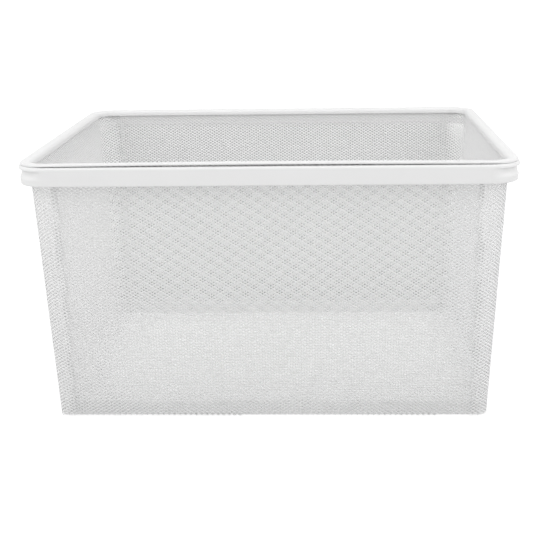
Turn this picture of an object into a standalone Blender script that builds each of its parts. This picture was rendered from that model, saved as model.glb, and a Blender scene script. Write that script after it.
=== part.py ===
"""Drawer basket of white expanded metal: tapered mesh walls, a mesh floor pan and a two-piece rolled rim.

Metres, +Z up. The origin is on the resting plane under the middle of the basket, and the front faces -Y.
The open mesh is drawn as a coarse diamond lattice: one drawn diamond stands for about a hundred real ones.
"""

import math
from collections import namedtuple

import bmesh
import bpy

# Overall size, over the lip of the rim
WIDTH = 0.540
DEPTH = 0.432
HEIGHT = 0.298

# Sheet metal and fits
SHEET = 0.0012
GAP = 0.0003
PAN_CLEARANCE = 0.0005
PANEL_END_CLEARANCE = 0.0010

# Mesh walls: how far they stand inside the lip at the top, how much they draw in below, and their corners
WALL_INSET = 0.0113
SIDE_TAPER = 0.0143
END_TAPER = 0.0185
CORNER_RADIUS_TOP = 0.0227
CORNER_RADIUS_FOOT = 0.0090
WALL_FOOT = 0.0015
LAP = 0.0130

# Flange of the walls, folded outwards and clamped between strip and band
FLANGE_OUTER_INSET = 0.0040
FLANGE_BEND = 0.0005
CLAMP_DROP = 0.0080

# Rolled rim band round the outside
RIM_CORNER_RADIUS = 0.0340
LEDGE_DROP = 0.0045
LEDGE_INNER_INSET = 0.0090
LEDGE_ROOT_INSET = 0.0036
LIP_DROP = 0.0030
LIP_RADIUS = 0.0030
GROOVE_DEPTH = 0.0030
GROOVE_TOP_DROP = 0.0070
GROOVE_FOOT_DROP = 0.0205
GROOVE_FLATNESS = 1.4
GROOVE_FADE = 0.0450
HEM_INSET = 0.0013
HEM_RADIUS = 0.0012
BAND_FOOT_DROP = 0.0238

# Strip that covers the top of the mesh and folds down inside it
STRIP_OUTER_INSET = 0.0020
STRIP_INNER_INSET = 0.0140
STRIP_NOSE_DROP = 0.0021
STRIP_NOSE_RADIUS = 0.0012
STRIP_SHOULDER = 0.0018
STRIP_LEG_DROP = 0.0068

# Floor pan
PAN_FLANGE_HEIGHT = 0.0200
PAN_BEND = 0.0020

# Drawn lattice: strands, closed margins and counts of half diamonds
STRAND_WIDTH = 0.0046
SELVAGE = 0.0045
WALL_ROWS = 10
END_COLUMNS = 16
SIDE_STRAIGHT_COLUMNS = 12
ARC_COLUMNS = 4
FLOOR_COLUMNS = 16
FLOOR_ROWS = 12
MOST_CELL_SHARE = 0.34

# Facets
FINE_STEPS = 2
RIM_ARC_STEPS = ARC_COLUMNS * FINE_STEPS
PAN_ARC_STEPS = 4
FADE_STEPS = 4
ROUND_STEPS = 3
GROOVE_STEPS = 6
SMOOTH_ANGLE = math.radians(40.0)
KEY_DIGITS = 6

# Derived values
LAYER = SHEET + GAP
CLAMP_HEIGHT = HEIGHT - CLAMP_DROP
QUARTER = math.pi / 2
BEND_SHARE = 1 - math.cos(QUARTER / 2)

# A place round the basket: shares of the straight runs, direction of the outward normal, slide along the
# wall and how far the sheet is set out there
Station = namedtuple("Station", "across deep angle slide out", defaults=(0.0, 0.0))


def clear_scene():
    for item in list(bpy.data.objects):
        bpy.data.objects.remove(item, do_unlink=True)


def coated_steel(name, colour, roughness):
    """Powder-coated steel for one sub-part."""
    material = bpy.data.materials.new(name)
    material.use_nodes = True
    shader = material.node_tree.nodes["Principled BSDF"]
    shader.inputs["Base Color"].default_value = (*colour, 1.0)
    shader.inputs["Roughness"].default_value = roughness
    shader.inputs["Metallic"].default_value = 0.0
    return material


def add_object(name, points, faces, material, smooth=False):
    """A named object from points and faces, with its faces turned outwards."""
    mesh = bpy.data.meshes.new(name)
    mesh.from_pydata(points, [], faces)
    work = bmesh.new()
    work.from_mesh(mesh)
    bmesh.ops.recalc_face_normals(work, faces=work.faces)
    work.to_mesh(mesh)
    work.free()
    mesh.materials.append(material)
    if smooth:
        mesh.shade_smooth()
        mesh.set_sharp_from_angle(angle=SMOOTH_ANGLE)
    thing = bpy.data.objects.new(name, mesh)
    bpy.context.scene.collection.objects.link(thing)
    return thing


class Sheet:
    """A sheet built from keyed places. Each place is a pair of points, on the outer and on the inner skin."""

    def __init__(self, spot):
        self.spot = spot
        self.index = {}
        self.pairs = []
        self.faces = []

    def place(self, u, v):
        """The number of the place at (u, v) on the sheet."""
        key = (round(u, KEY_DIGITS), round(v, KEY_DIGITS))
        if key not in self.index:
            self.index[key] = len(self.pairs)
            self.pairs.append(self.spot(u, v))
        return self.index[key]

    def face(self, *corners):
        """A face seen from the outer skin. A corner that follows itself counts once."""
        places = [self.place(*corner) for corner in corners]
        self.faces.append([p for n, p in enumerate(places) if p != places[n - 1]])

    def solid(self):
        """Both skins, and walls along every open edge."""
        count = len(self.pairs)
        points = [outer for outer, _ in self.pairs] + [inner for _, inner in self.pairs]
        faces = list(self.faces)
        faces += [[c + count for c in reversed(face)] for face in self.faces]
        edges = {edge for face in self.faces for edge in zip(face, face[1:] + face[:1])}
        for a, b in sorted(edges):
            if (b, a) not in edges:
                faces.append([b, a, a + count, b + count])
        return points, faces


def cell_share(across, along):
    """The share of a half diamond that half a strand takes up."""
    share = STRAND_WIDTH / 2 * math.hypot(across, along) / (across * along)
    return min(share, MOST_CELL_SHARE)


def weave(sheet, columns, rows, column_shares, row_share):
    """Diamonds round the crossings of column and row lines, and half diamonds along the border."""
    for i in range(columns + 1):
        for j in range(rows + 1):
            if (i + j) % 2 == 0:
                continue
            west = column_shares[max(i - 1, 0)]
            east = column_shares[min(i, columns - 1)]
            outer = [(i - 1, j), (i, j - 1), (i + 1, j), (i, j + 1)]
            inner = [(i - 1 + west, j), (i, j - 1 + row_share), (i + 1 - east, j), (i, j + 1 - row_share)]
            present = [i > 0, j > 0, i < columns, j < rows]
            for n in range(len(outer)):
                m = (n + 1) % len(outer)
                if present[n] and present[m]:
                    sheet.face(outer[n], outer[m], inner[m], inner[n])


def strand_end(first, second, share):
    """On the border between two crossings, the place where the strand of the knotted one ends."""
    knot, other = (first, second) if sum(first) % 2 == 0 else (second, first)
    return tuple(a + (b - a) * share for a, b in zip(knot, other))


# Plan sections


def wall_section(z, inset=0.0):
    """Half width, half depth and corner radius of the walls' outer face at a height."""
    fall = max(CLAMP_HEIGHT - z, 0.0) / CLAMP_HEIGHT
    half_x = WIDTH / 2 - WALL_INSET - SIDE_TAPER * fall - inset
    half_y = DEPTH / 2 - WALL_INSET - END_TAPER * fall - inset
    radius = CORNER_RADIUS_TOP + (CORNER_RADIUS_FOOT - CORNER_RADIUS_TOP) * fall - inset
    return half_x, half_y, radius


def plan_point(section, station, out):
    """A point at a station of a rounded rectangle, set out from it square to its edge."""
    half_x, half_y, radius = section
    reach = radius + out
    x = station.across * (half_x - radius) + reach * math.cos(station.angle)
    y = station.deep * (half_y - radius) + reach * math.sin(station.angle)
    return x - station.slide * math.sin(station.angle), y + station.slide * math.cos(station.angle)


def blend(first, second, share):
    """The station between two stations."""
    return Station(*[a + (b - a) * share for a, b in zip(first, second)])


def station_at(stations, u):
    """The station at a real number of columns. The list starts one column before column 0."""
    n = min(int(math.floor(u)) + 1, len(stations) - 2)
    return blend(stations[n], stations[n + 1], u + 1 - n)


def end_stations():
    """Stations of an end panel from left to right, seen from outside."""
    inward = PANEL_END_CLEARANCE + SELVAGE
    edge_left = Station(-1.0, -1.0, -QUARTER, PANEL_END_CLEARANCE)
    edge_right = Station(1.0, -1.0, -QUARTER, -PANEL_END_CLEARANCE)
    left = edge_left._replace(slide=inward)
    right = edge_right._replace(slide=-inward)
    net = [blend(left, right, i / END_COLUMNS) for i in range(END_COLUMNS + 1)]
    return [edge_left] + net + [edge_right]


def side_stations():
    """Stations of a side panel: front lap, corner, straight run, corner and back lap."""
    front = Station(1.0, -1.0, -QUARTER)
    near = Station(1.0, -1.0, 0.0)
    far = Station(1.0, 1.0, 0.0)
    back = Station(1.0, 1.0, QUARTER)
    corner_in = [blend(front, near, k / ARC_COLUMNS) for k in range(ARC_COLUMNS)]
    straight = [blend(near, far, i / SIDE_STRAIGHT_COLUMNS) for i in range(SIDE_STRAIGHT_COLUMNS + 1)]
    corner_out = [blend(far, back, k / ARC_COLUMNS) for k in range(1, ARC_COLUMNS + 1)]
    corner_in[0] = front._replace(out=LAYER)
    corner_out[-1] = back._replace(out=LAYER)
    lap_in = corner_in[0]._replace(slide=-LAP)
    lap_out = corner_out[-1]._replace(slide=LAP)
    return [lap_in] + corner_in + straight + corner_out + [lap_out]


# Mesh walls


def fold_lines(out):
    """Lines of the flange fold: how far out and how high the outer and the inner skin are."""
    top = HEIGHT - SHEET - GAP - out
    foot = top - SHEET
    bend = FLANGE_BEND
    wide = FLANGE_BEND + SHEET
    end = WALL_INSET - FLANGE_OUTER_INSET
    outer_middle = (out + bend * BEND_SHARE, foot - bend * BEND_SHARE)
    inner_middle = (out - SHEET + wide * BEND_SHARE, top - wide * BEND_SHARE)
    return [
        ((out, foot - bend), (out - SHEET, foot - bend)),
        (outer_middle, inner_middle),
        ((out + bend, foot), (out + bend, top)),
        ((end, foot), (end, top)),
    ]


def cell_steps(stations, i):
    """Facets of the flange over cell i: more where the wall turns a corner."""
    turning = stations[i + 1].angle != stations[i + 2].angle
    return FINE_STEPS if turning else 1


def build_wall(name, stations, turn, material):
    """A mesh wall: lattice, closed margins and the flange folded outwards. Turn -1 sets it half way round."""
    columns = len(stations) - 3
    clamp = WALL_ROWS + 1
    lattice_foot = WALL_FOOT + SELVAGE
    rise = (CLAMP_HEIGHT - SELVAGE - lattice_foot) / WALL_ROWS
    heights = [WALL_FOOT] + [lattice_foot + rise * j for j in range(WALL_ROWS + 1)] + [CLAMP_HEIGHT]

    def spot(u, v):
        station = station_at(stations, u)
        if v > clamp:
            skins = fold_lines(station.out)[round(v) - clamp - 1]
        else:
            n = min(int(math.floor(v)) + 1, clamp)
            z = heights[n] + (heights[n + 1] - heights[n]) * (v + 1 - n)
            skins = ((station.out, z), (station.out - SHEET, z))
        pair = []
        for out, z in skins:
            x, y = plan_point(wall_section(z), station, out)
            pair.append((turn * x, turn * y, z))
        return tuple(pair)

    middle = wall_section(CLAMP_HEIGHT / 2)
    line = [plan_point(middle, station, 0.0) for station in stations[1:-1]]
    widths = [math.dist(a, b) for a, b in zip(line, line[1:])]
    shares = [cell_share(width, rise) for width in widths]

    sheet = Sheet(spot)
    row_share = cell_share(max(widths), rise)
    weave(sheet, columns, WALL_ROWS, shares, row_share)
    for i, share in enumerate(shares):
        steps = cell_steps(stations, i)
        upper = [(i + k / steps, clamp) for k in range(steps, -1, -1)]
        foot_end = strand_end((i + 1, 0), (i, 0), share)
        head_end = strand_end((i, WALL_ROWS), (i + 1, WALL_ROWS), share)
        sheet.face((i, -1), (i + 1, -1), (i + 1, 0), foot_end, (i, 0))
        sheet.face((i, WALL_ROWS), head_end, (i + 1, WALL_ROWS), *upper)
    for j in range(WALL_ROWS):
        left_end = strand_end((0, j), (0, j + 1), row_share)
        right_end = strand_end((columns, j + 1), (columns, j), row_share)
        sheet.face((-1, j), (0, j), left_end, (0, j + 1), (-1, j + 1))
        sheet.face((columns, j), (columns + 1, j), (columns + 1, j + 1), (columns, j + 1), right_end)
    for i in (-1, columns):
        for j in (-1, WALL_ROWS):
            sheet.face((i, j), (i + 1, j), (i + 1, j + 1), (i, j + 1))
    for i in range(-1, columns + 1):
        steps = cell_steps(stations, i)
        for k in range(steps):
            left = i + k / steps
            right = i + (k + 1) / steps
            for j in range(clamp, clamp + len(fold_lines(0.0))):
                sheet.face((left, j), (right, j), (right, j + 1), (left, j + 1))
    add_object(name, *sheet.solid(), material)


# Floor pan


def pan_ring():
    """Round the floor: the lattice crossing inside and the station outside, counterclockwise."""
    columns, rows = FLOOR_COLUMNS, FLOOR_ROWS
    shares_x = [2 * i / columns - 1 for i in range(columns + 1)]
    shares_y = [2 * j / rows - 1 for j in range(rows + 1)]
    sides = [
        [((i, 0), (shares_x[i], -1.0)) for i in range(columns + 1)],
        [((columns, j), (1.0, shares_y[j])) for j in range(rows + 1)],
        [((i, rows), (shares_x[i], 1.0)) for i in range(columns, -1, -1)],
        [((0, j), (-1.0, shares_y[j])) for j in range(rows, -1, -1)],
    ]
    ring = []
    for n, side in enumerate(sides):
        start = QUARTER * (n - 1)
        ring += [(crossing, Station(*shares, start)) for crossing, shares in side]
        crossing, shares = side[-1]
        for k in range(1, PAN_ARC_STEPS):
            ring.append((crossing, Station(*shares, start + QUARTER * k / PAN_ARC_STEPS)))
    return ring


def pan_lines():
    """Lines of the pan's edge: how far out and how high the outer and the inner skin are."""
    wide = PAN_BEND + SHEET
    outer_middle = (-wide * BEND_SHARE, wide * BEND_SHARE)
    inner_middle = (-SHEET - PAN_BEND * BEND_SHARE, SHEET + PAN_BEND * BEND_SHARE)
    return [
        ((-wide, 0.0), (-wide, SHEET)),
        (outer_middle, inner_middle),
        ((0.0, wide), (-SHEET, wide)),
        ((0.0, PAN_FLANGE_HEIGHT), (-SHEET, PAN_FLANGE_HEIGHT)),
    ]


def build_pan(name, material):
    """The floor: lattice, closed margin, bend and upturned edge."""
    inset = SHEET + PAN_CLEARANCE
    half_x, half_y, _ = wall_section(0.0, inset)
    net_x = half_x - PAN_BEND - SHEET - SELVAGE
    net_y = half_y - PAN_BEND - SHEET - SELVAGE
    cell_x = 2 * net_x / FLOOR_COLUMNS
    cell_y = 2 * net_y / FLOOR_ROWS
    ring = pan_ring()
    edge = FLOOR_COLUMNS + 1

    def spot(u, v):
        if u < edge:
            x = cell_x * u - net_x
            y = cell_y * v - net_y
            return (x, y, 0.0), (x, y, SHEET)
        station = ring[round(v)][1]
        return tuple((*plan_point(wall_section(z, inset), station, out), z) for out, z in pan_lines()[round(u) - edge])

    sheet = Sheet(spot)
    share = cell_share(cell_x, cell_y)
    weave(sheet, FLOOR_COLUMNS, FLOOR_ROWS, [share] * FLOOR_COLUMNS, share)
    for k in range(len(ring)):
        m = (k + 1) % len(ring)
        here, there = ring[k][0], ring[m][0]
        border = [there] if here == there else [there, strand_end(there, here, share)]
        sheet.face(here, (edge, k), (edge, m), *border)
        for n in range(edge, edge + len(pan_lines()) - 1):
            sheet.face((n, k), (n + 1, k), (n + 1, m), (n, m))
    add_object(name, *sheet.solid(), material)


# Rim


def fade(share):
    """Smooth run from 1 to 0."""
    return (1 + math.cos(math.pi * share)) / 2


def rim_ring():
    """Stations round the rim, counterclockwise, with the share of the full groove at each."""
    corners = [(-1, -1), (1, -1), (1, 1), (-1, 1)]
    ring = []
    for n, first in enumerate(corners):
        last = corners[(n + 1) % len(corners)]
        angle = QUARTER * (n - 1)
        shares = [k / FADE_STEPS for k in range(FADE_STEPS + 1)] if n % 2 == 0 else [0.0]
        ring += [(Station(*first, angle, GROOVE_FADE * share), fade(share)) for share in shares]
        ring += [(Station(*last, angle, -GROOVE_FADE * share), fade(share)) for share in reversed(shares)]
        for k in range(1, RIM_ARC_STEPS):
            ring.append((Station(*last, angle + QUARTER * k / RIM_ARC_STEPS), 1.0))
    return ring


def arc(centre, radius, start, end):
    """Points of an arc in (inset, drop). Quarter 0 points inwards, 1 up, 2 outwards and 3 down."""
    points = []
    for k in range(ROUND_STEPS + 1):
        angle = QUARTER * (start + (end - start) * k / ROUND_STEPS)
        points.append((centre[0] + radius * math.cos(angle), centre[1] - radius * math.sin(angle)))
    return points


def band_profile(groove):
    """Section of the rim band in (inset, drop) for a share of the full groove."""
    profile = arc((LIP_RADIUS, LIP_DROP + LIP_RADIUS), LIP_RADIUS, 1, 2)
    web = []
    for k in range(GROOVE_STEPS + 1):
        share = k / GROOVE_STEPS
        depth = min(GROOVE_FLATNESS * math.sin(math.pi * share), 1.0) * GROOVE_DEPTH
        drop = GROOVE_TOP_DROP + (GROOVE_FOOT_DROP - GROOVE_TOP_DROP) * share
        web.append((groove * max(depth, HEM_INSET * share), drop))
    profile += web
    profile += arc((groove * HEM_INSET + HEM_RADIUS, BAND_FOOT_DROP - HEM_RADIUS), HEM_RADIUS, 2, 3)
    profile += [(inset + SHEET, drop) for inset, drop in reversed(web)]
    profile.append((LEDGE_ROOT_INSET, LEDGE_DROP + SHEET))
    profile.append((LEDGE_INNER_INSET, LEDGE_DROP + SHEET))
    profile.append((LEDGE_INNER_INSET, LEDGE_DROP))
    profile.append((LEDGE_ROOT_INSET, LEDGE_DROP))
    return profile


def strip_profile(groove):
    """Section of the upper strip in (inset, drop), the same all round."""
    nose = STRIP_NOSE_RADIUS
    outer = STRIP_OUTER_INSET
    inner = STRIP_INNER_INSET
    shoulder = STRIP_SHOULDER
    profile = arc((inner - shoulder, shoulder), shoulder, 0, 1)
    profile += arc((outer + nose, nose), nose, 1, 2)
    profile += [(outer, STRIP_NOSE_DROP), (outer + SHEET, STRIP_NOSE_DROP), (outer + SHEET, SHEET)]
    profile += [(inner - shoulder, SHEET), (inner - SHEET, shoulder)]
    profile += [(inner - SHEET, STRIP_LEG_DROP), (inner, STRIP_LEG_DROP)]
    return profile


def build_loop(name, profile_at, material):
    """A closed loop of one profile round the rim."""
    section = (WIDTH / 2, DEPTH / 2, RIM_CORNER_RADIUS)
    ring = rim_ring()
    count = len(profile_at(0.0))
    points = []
    for station, groove in ring:
        for inset, drop in profile_at(groove):
            points.append((*plan_point(section, station, -inset), HEIGHT - drop))
    faces = []
    for k in range(len(ring)):
        here = k * count
        there = (k + 1) % len(ring) * count
        for n in range(count):
            m = (n + 1) % count
            faces.append([here + n, there + n, there + m, here + m])
    add_object(name, points, faces, material, smooth=True)


def main():
    clear_scene()
    rim_white = coated_steel("rim_white_coat", (0.86, 0.86, 0.86), 0.32)
    strip_white = coated_steel("strip_white_coat", (0.86, 0.86, 0.86), 0.32)
    wall_white = coated_steel("wall_white_coat", (0.82, 0.82, 0.82), 0.42)
    pan_white = coated_steel("pan_white_coat", (0.82, 0.82, 0.82), 0.42)
    build_loop("rim_band", band_profile, rim_white)
    build_loop("rim_strip", strip_profile, strip_white)
    build_wall("front_mesh_panel", end_stations(), 1, wall_white)
    build_wall("back_mesh_panel", end_stations(), -1, wall_white)
    build_wall("right_mesh_panel", side_stations(), 1, wall_white)
    build_wall("left_mesh_panel", side_stations(), -1, wall_white)
    build_pan("floor_mesh_pan", pan_white)


main()
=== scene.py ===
import math

import bpy
import numpy as np
from mathutils import Matrix, Vector


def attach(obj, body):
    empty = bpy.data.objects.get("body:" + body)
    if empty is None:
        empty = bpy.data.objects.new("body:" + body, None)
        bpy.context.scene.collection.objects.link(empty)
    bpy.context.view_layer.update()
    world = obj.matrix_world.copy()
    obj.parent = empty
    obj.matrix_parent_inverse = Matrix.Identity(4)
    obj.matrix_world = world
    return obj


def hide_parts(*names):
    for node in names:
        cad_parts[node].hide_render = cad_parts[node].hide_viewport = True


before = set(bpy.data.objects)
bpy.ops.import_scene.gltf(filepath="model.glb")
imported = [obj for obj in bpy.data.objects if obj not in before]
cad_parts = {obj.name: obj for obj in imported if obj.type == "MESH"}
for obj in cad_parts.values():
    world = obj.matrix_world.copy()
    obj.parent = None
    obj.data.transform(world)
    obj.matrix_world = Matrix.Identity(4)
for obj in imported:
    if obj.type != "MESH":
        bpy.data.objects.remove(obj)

MM = 0.001

# Sizes of the basket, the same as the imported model's
WIDTH = 540 * MM
DEPTH = 432 * MM
HEIGHT = 298 * MM
SHEET = 1.2 * MM
LAYER = 1.5 * MM
WALL_INSET = 11.3 * MM
SIDE_TAPER = 14.3 * MM
END_TAPER = 18.5 * MM
CORNER_RADIUS_TOP = 22.7 * MM
CORNER_RADIUS_FOOT = 9.0 * MM
CLAMP_HEIGHT = 290 * MM
LAP = 13 * MM
RIM_CORNER_RADIUS = 34 * MM

# Walls of fine mesh: where the sheet starts, and how its top folds outwards under the rim strip
WALL_FOOT = 0.5 * MM
FOOT_MARGIN = 0.3 * MM
FLANGE_BEND = 1.1 * MM
FLANGE_DROP = 2.1 * MM
FLANGE_OUTER_INSET = 2.6 * MM

# Floor pan: its place inside the walls, its upturned edge, and the crease pressed into it
PAN_INSET = 1.7 * MM
PAN_BEND = 2.6 * MM
PAN_FLANGE_HEIGHT = 20 * MM
CREASE_PLACE = 60 * MM
CREASE_HALF_LENGTH = 126 * MM
CREASE_WIDTH = 2.5 * MM
CREASE_HEIGHT = 1.0 * MM

# Expanded metal: half pitches of the openings, the share of a half pitch that a strand takes, and how far
# a strand's edges lean out of the sheet, so that the walls' inner faces look up and the floor's to the front
HALF_LONG = 3.12 * MM
HALF_SHORT = 1.95 * MM
STRAND_SHARE = 0.34
STRAND_THICKNESS = 0.6 * MM
END_LEAN = 0.20 * MM
SIDE_LEAN = 0.28 * MM
PAN_LEAN = -0.2 * MM
SHEET_TURN = math.radians(0.5)
KNOT_CORNERS = 4

# How wide the cut edges of a sheet are in its flat layout
WALL_LAYOUT_WIDTH = 0.5 * MM

# Rim band, as insets from the rim's outline and drops from its top: lip, ledge, grooved web and hem
LIP_RADIUS = 3.0 * MM
LIP_FOOT_DROP = 6.0 * MM
LEDGE_DROP = 4.5 * MM
LEDGE_ROOT_INSET = 3.6 * MM
LEDGE_INNER_INSET = 9.0 * MM
WEB_TOP_DROP = 7.0 * MM
WEB_HEIGHT = 13.5 * MM
GROOVE_DEPTH = 3.0 * MM
GROOVE_RISE_SHARE = 0.12
GROOVE_HOLD_SHARE = 0.30
GROOVE_FADE_SHARE = 0.4
HEM_INSET = 1.3 * MM
HEM_RADIUS = 1.2 * MM
HEM_DROP = 22.6 * MM

# Rim strip: its nose reaches lower where the band is grooved, and its front run bows upwards
STRIP_OUTER_INSET = 2.0 * MM
STRIP_INNER_INSET = 14.0 * MM
STRIP_NOSE_RADIUS = 1.2 * MM
STRIP_NOSE_DROP = 2.1 * MM
STRIP_NOSE_REACH = 0.6 * MM
STRIP_SHOULDER = 4.0 * MM
STRIP_LEG_DROP = 6.8 * MM
BOW = 1.1 * MM

# Steps and smoothing of the rim
ARC_STEPS = 16
ROUND_STEPS = 6
RUN_STEPS = 12
WEB_STEPS = 14
SMOOTH_ANGLE = math.radians(40)

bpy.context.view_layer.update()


# Materials

# Powder coats: tone, roughness and strength of the orange peel. The basket has one white coat all over; its
# tone is set per part as painted light and shade, standing in for how much light reaches each part:
# the end walls darker than the side walls and the pan, and the inside of the rim band's web much lighter than
# its outside. The cut edges of the openings have a slightly darker tone than the faces of the sheet
COATS = {
    "rim_powder_coat": (0.77, 0.48, 0.25),
    # Painted light: the inside of the band's web is much lighter than its outside, for light in the shaded
    # gap behind the mesh
    "rim_inside_coat_painted_lighter": (0.93, 0.48, 0.25),
    # Painted light and shade: each part's sheet has its own tone of the one white coat, for how much light
    # reaches it
    "end_powder_coat": (0.82, 0.40, 0.15),
    "end_powder_coat_edge": (0.77, 0.45, 0.15),
    "side_powder_coat": (0.89, 0.40, 0.15),
    "side_powder_coat_edge": (0.85, 0.45, 0.15),
    "pan_powder_coat": (0.93, 0.40, 0.15),
    "pan_powder_coat_edge": (0.91, 0.45, 0.15),
}
SHEET_FACE, CUT_EDGE = 0, 1
BAND_OUTSIDE, BAND_INSIDE = 0, 1
COAT_IOR = 1.5
TONE_SPREAD = 0.012
TONE_SCALE = 18.0
TONE_DETAIL = 3.0
PEEL_HEIGHT = 0.05 * MM
PEEL_SCALE = 900.0
PEEL_DETAIL = 2.0


def noise(nodes, links, place, scale, detail):
    """The strength of a noise texture in the object's own space."""
    node = nodes.new("ShaderNodeTexNoise")
    node.inputs["Scale"].default_value = scale
    node.inputs["Detail"].default_value = detail
    links.new(place.outputs["Object"], node.inputs["Vector"])
    return node.outputs["Fac"]


def coat(name):
    """White powder coat with a faint orange peel and a slight unevenness of tone."""
    tone, roughness, peel = COATS[name]
    material = bpy.data.materials.new(name)
    material.use_nodes = True
    nodes = material.node_tree.nodes
    links = material.node_tree.links
    shader = nodes["Principled BSDF"]
    shader.inputs["Roughness"].default_value = roughness
    shader.inputs["IOR"].default_value = COAT_IOR
    place = nodes.new("ShaderNodeTexCoord")
    ramp = nodes.new("ShaderNodeMapRange")
    ramp.inputs["To Min"].default_value = tone - TONE_SPREAD
    ramp.inputs["To Max"].default_value = tone + TONE_SPREAD
    links.new(noise(nodes, links, place, TONE_SCALE, TONE_DETAIL), ramp.inputs["Value"])
    mix = nodes.new("ShaderNodeCombineColor")
    for channel in ("Red", "Green", "Blue"):
        links.new(ramp.outputs["Result"], mix.inputs[channel])
    links.new(mix.outputs["Color"], shader.inputs["Base Color"])
    bump = nodes.new("ShaderNodeBump")
    bump.inputs["Strength"].default_value = peel
    bump.inputs["Distance"].default_value = PEEL_HEIGHT
    links.new(noise(nodes, links, place, PEEL_SCALE, PEEL_DETAIL), bump.inputs["Height"])
    links.new(bump.outputs["Normal"], shader.inputs["Normal"])
    return material


def sheet_coats(part):
    """Coats of the faces and the cut edges of a sheet of expanded metal, in its part's tone of painted light
    and shade.
    """
    return [coat(part + "_powder_coat"), coat(part + "_powder_coat_edge")]


# Pieces

def encloses(points, faces):
    """Whether a closed surface of quads has its faces outwards."""
    a, b, c, d = np.asarray(points)[faces.T]
    return np.sum(np.cross(a, b) * c) + np.sum(np.cross(a, c) * d) > 0


def add_piece(name, points, faces, coats, node, smooth_angle=None, layout=None, finish=None):
    """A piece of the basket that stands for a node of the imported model. Faces are an array of quads."""
    if not encloses(points, faces):
        faces = faces[:, ::-1]
        layout = None if layout is None else layout[:, ::-1]
    mesh = bpy.data.meshes.new(name)
    mesh.vertices.add(len(points))
    mesh.vertices.foreach_set("co", np.asarray(points, dtype=np.float32).ravel())
    mesh.loops.add(faces.size)
    mesh.loops.foreach_set("vertex_index", faces.astype(np.int32).ravel())
    mesh.polygons.add(len(faces))
    mesh.polygons.foreach_set("loop_start", np.arange(0, faces.size, faces.shape[1], dtype=np.int32))
    mesh.update(calc_edges=True)
    mesh.validate()
    for material in coats:
        mesh.materials.append(material)
    if finish is not None:
        mesh.polygons.foreach_set("material_index", finish.astype(np.int32))
    if layout is not None:
        flat_map = mesh.uv_layers.new(name="OFBake")
        flat_map.data.foreach_set("uv", layout.astype(np.float32).ravel())
    if smooth_angle is not None:
        mesh.shade_smooth()
        mesh.set_sharp_from_angle(angle=smooth_angle)
    thing = bpy.data.objects.new(name, mesh)
    bpy.context.scene.collection.objects.link(thing)
    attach(thing, "root")
    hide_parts(node)


def eased(share):
    """A smooth step from 0 to 1."""
    share = np.clip(share, 0.0, 1.0)
    return share * share * (3 - 2 * share)


# Expanded metal

def thicken(outer, inner, faces, flat):
    """Both skins of a sheet and walls along its open edges, with a flat layout of all their corners."""
    count = len(outer)
    starts = faces.ravel()
    ends = np.roll(faces, -1, axis=1).ravel()
    codes = starts.astype(np.int64) * count + ends
    backward = ends.astype(np.int64) * count + starts
    open_edge = ~np.isin(codes, backward)
    a, b = starts[open_edge], ends[open_edge]
    walls = np.stack([b, a, a + count, b + count], axis=1)
    along = flat[b] - flat[a]
    away = np.stack([along[:, 1], -along[:, 0]], axis=1)
    away *= WALL_LAYOUT_WIDTH / np.linalg.norm(away, axis=1, keepdims=True)
    low, high = flat.min(axis=0) - HALF_SHORT, flat.max(axis=0) + HALF_SHORT
    other_skin = np.array([0.0, high[1] - low[1]])
    wall_layout = np.stack([flat[b], flat[a], flat[a] + away, flat[b] + away], axis=1)
    layout = np.concatenate([flat[faces], flat[faces[:, ::-1]] + other_skin, wall_layout]) - low
    layout /= max(high[0] - low[0], 2 * other_skin[1])
    finish = np.repeat([SHEET_FACE, CUT_EDGE], [2 * len(faces), len(walls)])
    points = np.concatenate([outer, inner])
    return points, np.concatenate([faces, faces[:, ::-1] + count, walls]), layout, finish


def strands(number, first, second):
    """Quads between neighbouring knots in one slanting direction, from the given corners to each other."""
    (start, start_side), (end, end_side) = first, second
    here, there = number[start], number[end]
    both = (here >= 0) & (there >= 0)
    a, b = here[both] * KNOT_CORNERS, there[both] * KNOT_CORNERS
    return np.stack([a + start_side[0], b + end_side[0], b + end_side[1], a + start_side[1]], axis=1)


def expanded_sheet(name, span, surface, keep, coats, lean, node):
    """Expanded metal over a surface. Strands meet at knots, and every strand leans the same way."""
    first, last = span
    most = math.ceil(WIDTH / 2 / HALF_LONG)
    columns = np.arange(-most, most + 1)
    rows = np.arange(math.floor(first / HALF_SHORT), math.ceil(last / HALF_SHORT) + 1)
    i, j = np.meshgrid(columns, rows, indexing="ij")
    s, t = i * HALF_LONG, j * HALF_SHORT
    s, t = s + SHEET_TURN * t, t - SHEET_TURN * s
    used = ((i + j) % 2 == 0) & keep(s, t)
    number = np.full(i.shape, -1)
    number[used] = np.arange(used.sum())
    s, t = s[used], t[used]
    g, h = HALF_LONG * STRAND_SHARE, HALF_SHORT * STRAND_SHARE
    spots = [(g, 0.0, 0.0), (0.0, h, 1.0), (-g, 0.0, 0.0), (0.0, -h, -1.0)]
    outer, inner, flat = [], [], []
    for ds, dt, side in spots:
        point, normal = surface(s + ds, t + dt)
        outer.append(point + normal * (lean * side + STRAND_THICKNESS / 2))
        inner.append(point + normal * (lean * side - STRAND_THICKNESS / 2))
        flat.append(np.stack([s + ds, t + dt], axis=1))
    outer, inner = (np.stack(skin, axis=1).reshape(-1, 3) for skin in (outer, inner))
    flat = np.stack(flat, axis=1).reshape(-1, 2)
    east, north, west, south = range(KNOT_CORNERS)
    lower, upper = slice(None, -1), slice(1, None)
    knots = np.arange(len(s))[:, None] * KNOT_CORNERS + np.arange(KNOT_CORNERS)
    rising = strands(number, ((lower, lower), (east, north)), ((upper, upper), (south, west)))
    falling = strands(number, ((upper, lower), (north, west)), ((lower, upper), (east, south)))
    points, faces, layout, finish = thicken(outer, inner, np.concatenate([knots, rising, falling]), flat)
    add_piece(name, points, faces, coats, node, layout=layout, finish=finish)


# Walls

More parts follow.
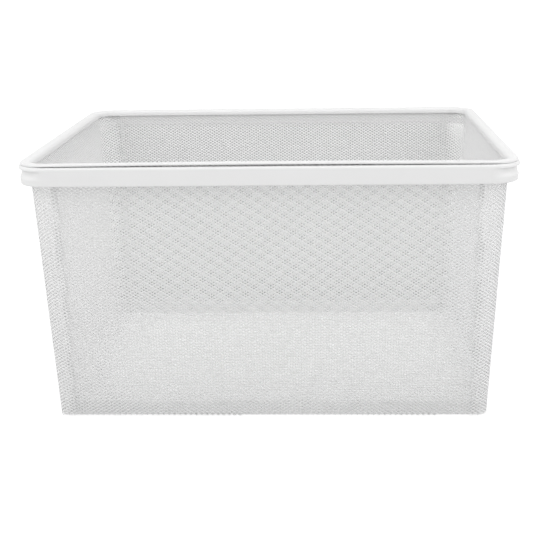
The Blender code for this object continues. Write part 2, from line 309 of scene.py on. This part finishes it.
def wall_section(z, inset=0.0):
    """Half width, half depth and corner radius of the walls' outer face at a height."""
    fall = np.maximum(CLAMP_HEIGHT - z, 0.0) / CLAMP_HEIGHT
    half_x = WIDTH / 2 - WALL_INSET - SIDE_TAPER * fall - inset
    half_y = DEPTH / 2 - WALL_INSET - END_TAPER * fall - inset
    radius = CORNER_RADIUS_TOP + (CORNER_RADIUS_FOOT - CORNER_RADIUS_TOP) * fall - inset
    return half_x, half_y, radius


def bend_start(lap_out):
    """How far up its sheet a wall starts to fold outwards."""
    return HEIGHT - FLANGE_DROP - FLANGE_BEND - lap_out - WALL_FOOT


def sheet_end():
    """How far up its sheet a wall's cut edge is, out on the flange."""
    flange = WALL_INSET + SHEET / 2 - FLANGE_OUTER_INSET - FLANGE_BEND
    return bend_start(0.0) + FLANGE_BEND * math.pi / 2 + flange


def fold_out(t, lap_out):
    """Height and outward reach up a wall's sheet, and the turn of its normal: the top is folded outwards."""
    start = bend_start(lap_out)
    turn = np.clip((t - start) / FLANGE_BEND, 0.0, math.pi / 2)
    flat = np.maximum(t - start - FLANGE_BEND * math.pi / 2, 0.0)
    z = WALL_FOOT + np.minimum(t, start) + FLANGE_BEND * np.sin(turn)
    out = FLANGE_BEND * (1 - np.cos(turn)) + flat
    return z, out, turn


def end_surface(front):
    """The front or back wall, its sheet measured from the middle of its foot."""

    def surface(s, t):
        z, out, turn = fold_out(t, 0.0)
        _, half_y, _ = wall_section(z)
        y = half_y - SHEET / 2 + out
        point = np.stack([-front * s, front * y, z], axis=1)
        normal = np.stack([np.zeros_like(s), front * np.cos(turn), -np.sin(turn)], axis=1)
        return point, normal

    return surface


def side_surface(side):
    """A side wall with both corners and laps, its sheet measured from the middle of its foot."""

    def surface(s, t):
        z, _, _ = fold_out(t, 0.0)
        half_x, half_y, radius = wall_section(z)
        straight = half_y - radius
        past = np.maximum(np.abs(s) - straight, 0.0)
        angle = np.minimum(past / radius, math.pi / 2)
        lap = np.maximum(past - radius * math.pi / 2, 0.0)
        lap_out = LAYER * eased((angle - math.pi / 4) / (math.pi / 4))
        z, out, turn = fold_out(t, lap_out)
        reach = radius - SHEET / 2 + lap_out + out
        x = half_x - radius + reach * np.cos(angle) - lap
        y = np.minimum(np.abs(s), straight) + reach * np.sin(angle)
        end = side * np.sign(s)
        point = np.stack([side * x, end * y, z], axis=1)
        level = np.cos(turn)
        normal = np.stack([side * np.cos(angle) * level, end * np.sin(angle) * level, -np.sin(turn)], axis=1)
        return point, normal

    return surface


def within_height(t):
    """Where up a wall's sheet there are knots."""
    return (t > FOOT_MARGIN) & (t < sheet_end() - HALF_SHORT / 2)


def end_keep(s, t):
    """Where the front and back walls have knots."""
    half_x, _, radius = wall_section(WALL_FOOT + t)
    return (np.abs(s) < half_x - radius - HALF_LONG) & within_height(t)


def side_keep(s, t):
    """Where the side walls have knots, with their corners and laps."""
    _, half_y, radius = wall_section(WALL_FOOT + t)
    reach = half_y - radius + radius * math.pi / 2 + LAP
    return (np.abs(s) < reach - HALF_LONG / 2) & within_height(t)


# Floor pan

def pan_path(s, half, lean):
    """Along a floor sheet that turns up at both ends: level place, height and turn of the normal."""
    flat = half - PAN_BEND
    past = np.maximum(np.abs(s) - flat, 0.0)
    turn = np.minimum(past / PAN_BEND, math.pi / 2 - lean)
    up = np.maximum(past - PAN_BEND * (math.pi / 2 - lean), 0.0)
    place = np.minimum(np.abs(s), flat) + PAN_BEND * np.sin(turn) + up * math.sin(lean)
    height = PAN_BEND * (1 - np.cos(turn)) + up * math.cos(lean)
    return np.sign(s) * place, height, np.sign(s) * turn


def pan_halves():
    """Half width and half depth of the pan, to the middle of its upturned sheet."""
    half_x, half_y, _ = wall_section(0.0, PAN_INSET)
    return half_x - SHEET / 2, half_y - SHEET / 2


def pan_surface(s, t):
    """The pan with its upturned edges and its crease, its sheet measured from its middle."""
    half_x, half_y = pan_halves()
    x, rise_x, turn_x = pan_path(s, half_x, SIDE_TAPER / CLAMP_HEIGHT)
    y, rise_y, turn_y = pan_path(t, half_y, END_TAPER / CLAMP_HEIGHT)
    crease = np.exp(-((y - CREASE_PLACE) / CREASE_WIDTH) ** 2) * (np.abs(x) < CREASE_HALF_LENGTH)
    z = SHEET / 2 + rise_x + rise_y + CREASE_HEIGHT * crease
    point = np.stack([x, y, z], axis=1)
    level = np.cos(turn_x) * np.cos(turn_y)
    normal = np.stack([np.sin(turn_x), np.sin(turn_y), -level], axis=1)
    return point, normal


def pan_keep(s, t):
    """Where the pan has knots: not in the notches at its corners."""
    half_x, half_y = pan_halves()
    limit_x = half_x + PAN_FLANGE_HEIGHT - PAN_BEND
    limit_y = half_y + PAN_FLANGE_HEIGHT - PAN_BEND
    notch = (np.abs(s) > half_x - PAN_BEND) & (np.abs(t) > half_y - PAN_BEND)
    return (np.abs(s) < limit_x) & (np.abs(t) < limit_y) & ~notch


# Rim

def arc(centre, radius, start, end):
    """Points of an arc in (inset, drop). Quarter 0 points inwards, 1 up, 2 outwards and 3 down."""
    points = []
    for k in range(ROUND_STEPS + 1):
        angle = math.pi / 2 * (start + (end - start) * k / ROUND_STEPS)
        points.append((centre[0] + radius * math.cos(angle), centre[1] - radius * math.sin(angle)))
    return points


def rim_ring():
    """Stations round the rim: corner signs, angle of the outward normal, slide along it and groove share.

    The groove has its full depth on the side runs and fades out in the corners, so front and back are flat.
    """
    corners = [(-1, -1), (1, -1), (1, 1), (-1, 1)]
    half_runs = [WIDTH / 2 - RIM_CORNER_RADIUS, DEPTH / 2 - RIM_CORNER_RADIUS]
    ring = []
    for n, first in enumerate(corners):
        last = corners[(n + 1) % len(corners)]
        angle = math.pi / 2 * (n - 1)
        on_side = n % 2
        slides = [half_runs[on_side] * k / RUN_STEPS for k in range(RUN_STEPS + 1)]
        ring += [(first, angle, slide, on_side) for slide in slides]
        ring += [(last, angle, -slide, on_side) for slide in reversed(slides[:-1])]
        for k in range(1, ARC_STEPS):
            turned = k / ARC_STEPS
            from_flat = 1 - turned if on_side else turned
            ring.append((last, angle + math.pi / 2 * turned, 0.0, eased(from_flat / GROOVE_FADE_SHARE)))
    return ring


def web_profile(groove):
    """Outer face of the band between lip and hem for a share of the full groove, deepest under the lip."""
    web = []
    for k in range(WEB_STEPS + 1):
        share = k / WEB_STEPS
        depth = GROOVE_DEPTH * min(share / GROOVE_RISE_SHARE, 1.0)
        depth *= 1 - eased((share - GROOVE_HOLD_SHARE) / (1 - GROOVE_HOLD_SHARE))
        web.append((groove * max(depth, HEM_INSET * share), WEB_TOP_DROP + WEB_HEIGHT * share))
    return web


def band_profile(groove):
    """Section of the rim band in (inset, drop): lip, web, hem, inside of the web and ledge."""
    web = web_profile(groove)
    ledge_foot = LEDGE_DROP + SHEET
    profile = arc((LIP_RADIUS, LIP_FOOT_DROP), LIP_RADIUS, 1, 2) + web
    profile += arc((groove * HEM_INSET + HEM_RADIUS, HEM_DROP), HEM_RADIUS, 2, 3)
    profile += [(inset + SHEET, drop) for inset, drop in reversed(web)]
    profile += [(LEDGE_ROOT_INSET, ledge_foot), (LEDGE_INNER_INSET, ledge_foot)]
    profile += [(LEDGE_INNER_INSET, LEDGE_DROP), (LEDGE_ROOT_INSET, LEDGE_DROP)]
    return profile


def band_painted_light_mask():
    """Coat of each stretch of the band's section: the inside of the web has a much lighter coat, painted
    light in the shaded gap behind the mesh.
    """
    outer_points = 2 * (ROUND_STEPS + 1) + WEB_STEPS + 1
    stretches = np.arange(len(band_profile(0.0)))
    inside = (stretches >= outer_points) & (stretches < outer_points + WEB_STEPS)
    return np.where(inside, BAND_INSIDE, BAND_OUTSIDE)


def strip_profile(groove):
    """Section of the rim strip in (inset, drop): shoulder, nose, underside and inner leg."""
    edge = STRIP_NOSE_DROP + STRIP_NOSE_REACH * groove
    nose_inside = STRIP_OUTER_INSET + SHEET
    leg_inside = STRIP_INNER_INSET - SHEET
    shoulder = (STRIP_INNER_INSET - STRIP_SHOULDER, STRIP_SHOULDER)
    nose = (STRIP_OUTER_INSET + STRIP_NOSE_RADIUS, STRIP_NOSE_RADIUS)
    profile = arc(shoulder, STRIP_SHOULDER, 0, 1) + arc(nose, STRIP_NOSE_RADIUS, 1, 2)
    profile += [(STRIP_OUTER_INSET, edge), (nose_inside, edge), (nose_inside, SHEET)]
    profile += arc(shoulder, STRIP_SHOULDER - SHEET, 1, 0)
    profile += [(leg_inside, STRIP_LEG_DROP), (STRIP_INNER_INSET, STRIP_LEG_DROP)]
    return profile


def build_loop(name, profile_at, bow, coats, node, finish=None):
    """A closed loop of one profile round the rim. The front run can bow upwards in its middle."""
    points = []
    ring = rim_ring()
    count = len(profile_at(0.0))
    half_x, half_y = WIDTH / 2 - RIM_CORNER_RADIUS, DEPTH / 2 - RIM_CORNER_RADIUS
    for (across, deep), angle, slide, groove in ring:
        for inset, drop in profile_at(groove):
            reach = RIM_CORNER_RADIUS - inset
            x = across * half_x + reach * math.cos(angle) - slide * math.sin(angle)
            y = deep * half_y + reach * math.sin(angle) + slide * math.cos(angle)
            lift = bow * max(1 - (x / half_x) ** 2, 0.0) if y < -half_y else 0.0
            points.append((x, y, HEIGHT - drop + lift))
    here = np.arange(len(ring))[:, None] * count
    there = np.roll(np.arange(len(ring)), -1)[:, None] * count
    n = np.arange(count)[None, :]
    m = np.roll(np.arange(count), -1)[None, :]
    faces = np.stack([here + n, here + m, there + m, there + n], axis=2).reshape(-1, 4)
    if finish is not None:
        finish = np.tile(finish, len(ring))
    add_piece(name, points, faces, coats, node, SMOOTH_ANGLE, finish=finish)


# The basket

def build_basket():
    """The rim's two loops, the four walls and the floor pan."""
    # The inside of the band's web gets a much lighter coat: painted light in the shaded gap between the web
    # and the mesh
    rim_coats = [coat("rim_powder_coat"), coat("rim_inside_coat_painted_lighter")]
    # The walls and the pan have tones of one white coat that paint light and shade: end walls darker, side
    # walls and pan lighter
    end_coats, side_coats, pan_coats = (sheet_coats(part) for part in ("end", "side", "pan"))
    build_loop("rim_band_piece", band_profile, 0.0, rim_coats, "rim_band", band_painted_light_mask())
    build_loop("rim_strip_piece", strip_profile, BOW, rim_coats[:1], "rim_strip")
    span = (0.0, sheet_end())
    for end, front in (("front", -1), ("back", 1)):
        name, node = end + "_mesh", end + "_mesh_panel"
        expanded_sheet(name, span, end_surface(front), end_keep, end_coats, END_LEAN, node)
    for end, side in (("left", -1), ("right", 1)):
        name, node = end + "_mesh", end + "_mesh_panel"
        expanded_sheet(name, span, side_surface(side), side_keep, side_coats, SIDE_LEAN, node)
    span = (-DEPTH / 2, DEPTH / 2)
    expanded_sheet("floor_mesh", span, pan_surface, pan_keep, pan_coats, PAN_LEAN, "floor_mesh_pan")


# Camera, as in the photograph

FOCAL_PIXELS = 1093.8
YAW, PITCH, ROLL = -0.03211, 0.2613, -0.01409
PLACE = (0.06261, -1.34392, 0.50817)
SHIFT_PIXELS = (22.47, -21.85)
IMAGE = 540
SENSOR_WIDTH = 36.0
CLIP_START, CLIP_END = 0.05, 50.0


def add_camera():
    """The camera, with its view turned by yaw, pitch and roll."""
    forward = Vector((math.sin(YAW) * math.cos(PITCH), math.cos(YAW) * math.cos(PITCH), -math.sin(PITCH)))
    level = Vector((math.cos(YAW), -math.sin(YAW), 0.0))
    above = level.cross(forward)
    right = level * math.cos(ROLL) + above * math.sin(ROLL)
    up = above * math.cos(ROLL) - level * math.sin(ROLL)
    lens = bpy.data.cameras.new("camera")
    lens.sensor_width = SENSOR_WIDTH
    lens.lens = FOCAL_PIXELS / IMAGE * SENSOR_WIDTH
    lens.shift_x = -SHIFT_PIXELS[0] / IMAGE
    lens.shift_y = SHIFT_PIXELS[1] / IMAGE
    lens.clip_start = CLIP_START
    lens.clip_end = CLIP_END
    camera = bpy.data.objects.new("camera", lens)
    turned = Matrix((right, up, -forward)).transposed().to_4x4()
    camera.matrix_world = Matrix.Translation(PLACE) @ turned
    bpy.context.scene.collection.objects.link(camera)
    bpy.context.scene.camera = camera


# Stage and light

# The floor: its tone in the light that it throws back, its tone and glow as seen, and how the glow grows
FLOOR_REACH = 20.0
FLOOR_DROP = 0.2 * MM
FLOOR_COLOUR = 0.72
FLOOR_SEEN_COLOUR = 0.42
FLOOR_GLOWS = (0.70, 1.0)
FLOOR_GLOW_REACH = (1.2, 4.0)

# A painted shadow: a greyer field of the floor behind the basket, seen through the mesh: its near and far
# ends, and its middle and half width there
SHADE_GLOWS = (0.0, 0.05)
SHADE_NEAR, SHADE_FAR = 0.10, 1.60
SHADE_MIDDLES = (-0.018, -0.090)
SHADE_HALF_WIDTHS = (0.305, 0.630)
SHADE_SOFT_SHARE = 0.24
SHADE_NEAR_FADE = 0.20
SHADE_END = (2.00, 2.30)

WORLD_STRENGTH = 0.80
SEEN_STRENGTH = 1.0
WHITE = (1.0, 1.0, 1.0, 1.0)

# Lamps: place, the spot that they face, size and watts. The last two light the inner side walls
LAMPS = {
    "top_light": ((0.0, -1.3, 2.3), (0.0, 0.0, 0.1), 1.6, 11),
    "front_light": ((-0.1, -5.0, 2.0), (0.0, 0.0, 0.15), 3.6, 16),
    "left_light": ((-2.6, -0.6, 1.9), (0.0, 0.0, 0.2), 1.6, 20),
    "right_light": ((2.6, -0.6, 1.9), (0.0, 0.0, 0.2), 1.6, 20),
}


def calculated(nodes, links, operation, *values):
    """The result of a sum on values from other nodes."""
    node = nodes.new("ShaderNodeMath")
    node.operation = operation
    for socket, value in zip(node.inputs, values):
        links.new(value, socket)
    return node.outputs["Value"]


def mapped(nodes, links, value, given, wanted, interpolation="LINEAR"):
    """A value carried over from a given range to a wanted one, and held at its ends."""
    node = nodes.new("ShaderNodeMapRange")
    node.interpolation_type = interpolation
    node.inputs["From Min"].default_value, node.inputs["From Max"].default_value = given
    node.inputs["To Min"].default_value, node.inputs["To Max"].default_value = wanted
    links.new(value, node.inputs["Value"])
    return node.outputs["Result"]


def seen_rays(nodes, links):
    """One for camera, glossy and transmission rays, which see the white background, and zero for others."""
    path = nodes.new("ShaderNodeLightPath")
    either = calculated(nodes, links, "MAXIMUM", path.outputs["Is Camera Ray"], path.outputs["Is Glossy Ray"])
    return calculated(nodes, links, "MAXIMUM", either, path.outputs["Is Transmission Ray"])


def outside_painted_shadow(nodes, links, x, y):
    """Zero in the painted shadow behind the basket and one outside it, with soft edges."""
    middle = mapped(nodes, links, y, (SHADE_NEAR, SHADE_FAR), SHADE_MIDDLES)
    half_width = mapped(nodes, links, y, (SHADE_NEAR, SHADE_FAR), SHADE_HALF_WIDTHS)
    aside = calculated(nodes, links, "ABSOLUTE", calculated(nodes, links, "SUBTRACT", x, middle))
    aside = calculated(nodes, links, "DIVIDE", aside, half_width)
    beside = mapped(nodes, links, aside, (1 - SHADE_SOFT_SHARE, 1), (0, 1), "SMOOTHSTEP")
    before = mapped(nodes, links, y, (SHADE_NEAR + SHADE_NEAR_FADE, SHADE_NEAR), (0, 1), "SMOOTHSTEP")
    beyond = mapped(nodes, links, y, SHADE_END, (0, 1), "SMOOTHSTEP")
    return calculated(nodes, links, "MAXIMUM", calculated(nodes, links, "MAXIMUM", beside, before), beyond)


def floor_glow(nodes, links):
    """The glow of the floor as seen: white outside the painted shadow and next to nothing in it."""
    place = nodes.new("ShaderNodeTexCoord").outputs["Object"]
    split = nodes.new("ShaderNodeSeparateXYZ")
    links.new(place, split.inputs["Vector"])
    x, y = split.outputs["X"], split.outputs["Y"]
    distance = nodes.new("ShaderNodeVectorMath")
    distance.operation = "LENGTH"
    links.new(place, distance.inputs[0])
    inner = mapped(nodes, links, y, (SHADE_NEAR, SHADE_FAR), SHADE_GLOWS)
    outer = mapped(nodes, links, distance.outputs["Value"], FLOOR_GLOW_REACH, FLOOR_GLOWS)
    outer = calculated(nodes, links, "MULTIPLY", outer, outside_painted_shadow(nodes, links, x, y))
    return calculated(nodes, links, "MAXIMUM", inner, outer)


def floor_material():
    """Diffuse floor, pale to the basket and darker as seen, with a glow that only seen rays get."""
    material = bpy.data.materials.new("floor_white")
    material.use_nodes = True
    nodes = material.node_tree.nodes
    links = material.node_tree.links
    nodes.clear()
    seen = seen_rays(nodes, links)
    diffuse = nodes.new("ShaderNodeBsdfDiffuse")
    colour = mapped(nodes, links, seen, (0, 1), (FLOOR_COLOUR, FLOOR_SEEN_COLOUR))
    links.new(colour, diffuse.inputs["Color"])
    glow = nodes.new("ShaderNodeEmission")
    links.new(calculated(nodes, links, "MULTIPLY", seen, floor_glow(nodes, links)), glow.inputs["Strength"])
    both = nodes.new("ShaderNodeAddShader")
    out = nodes.new("ShaderNodeOutputMaterial")
    links.new(diffuse.outputs["BSDF"], both.inputs[0])
    links.new(glow.outputs["Emission"], both.inputs[1])
    links.new(both.outputs["Shader"], out.inputs["Surface"])
    return material


def add_floor():
    """A pale floor that shows white to the camera, keeps the basket's shadow and has a painted shadow behind
    it.
    """
    mesh = bpy.data.meshes.new("floor")
    corners = [(-FLOOR_REACH, -FLOOR_REACH), (FLOOR_REACH, -FLOOR_REACH)]
    corners += [(FLOOR_REACH, FLOOR_REACH), (-FLOOR_REACH, FLOOR_REACH)]
    mesh.from_pydata([(x, y, -FLOOR_DROP) for x, y in corners], [], [(0, 1, 2, 3)])
    floor = bpy.data.objects.new("floor", mesh)
    bpy.context.scene.collection.objects.link(floor)
    mesh.materials.append(floor_material())


def add_light(name, place, target, size, power):
    """A square soft lamp."""
    data = bpy.data.lights.new(name, "AREA")
    data.shape = "SQUARE"
    data.size = size
    data.energy = power
    lamp = bpy.data.objects.new(name, data)
    lamp.location = place
    lamp.rotation_mode = "QUATERNION"
    lamp.rotation_quaternion = (Vector(target) - Vector(place)).to_track_quat("-Z", "Y")
    bpy.context.scene.collection.objects.link(lamp)


def add_world():
    """Soft light all round, and a white background where it is seen."""
    world = bpy.data.worlds.new("studio")
    bpy.context.scene.world = world
    world.use_nodes = True
    nodes = world.node_tree.nodes
    links = world.node_tree.links
    nodes.clear()
    mix = nodes.new("ShaderNodeMixShader")
    out = nodes.new("ShaderNodeOutputWorld")
    links.new(seen_rays(nodes, links), mix.inputs["Fac"])
    for n, strength in enumerate((WORLD_STRENGTH, SEEN_STRENGTH)):
        light = nodes.new("ShaderNodeBackground")
        light.inputs["Color"].default_value = WHITE
        light.inputs["Strength"].default_value = strength
        links.new(light.outputs["Background"], mix.inputs[n + 1])
    links.new(mix.outputs["Shader"], out.inputs["Surface"])


build_basket()
add_camera()
add_floor()
add_world()
for name, lamp in LAMPS.items():
    add_light(name, *lamp)

scene = bpy.context.scene
scene.view_settings.view_transform = "Standard"
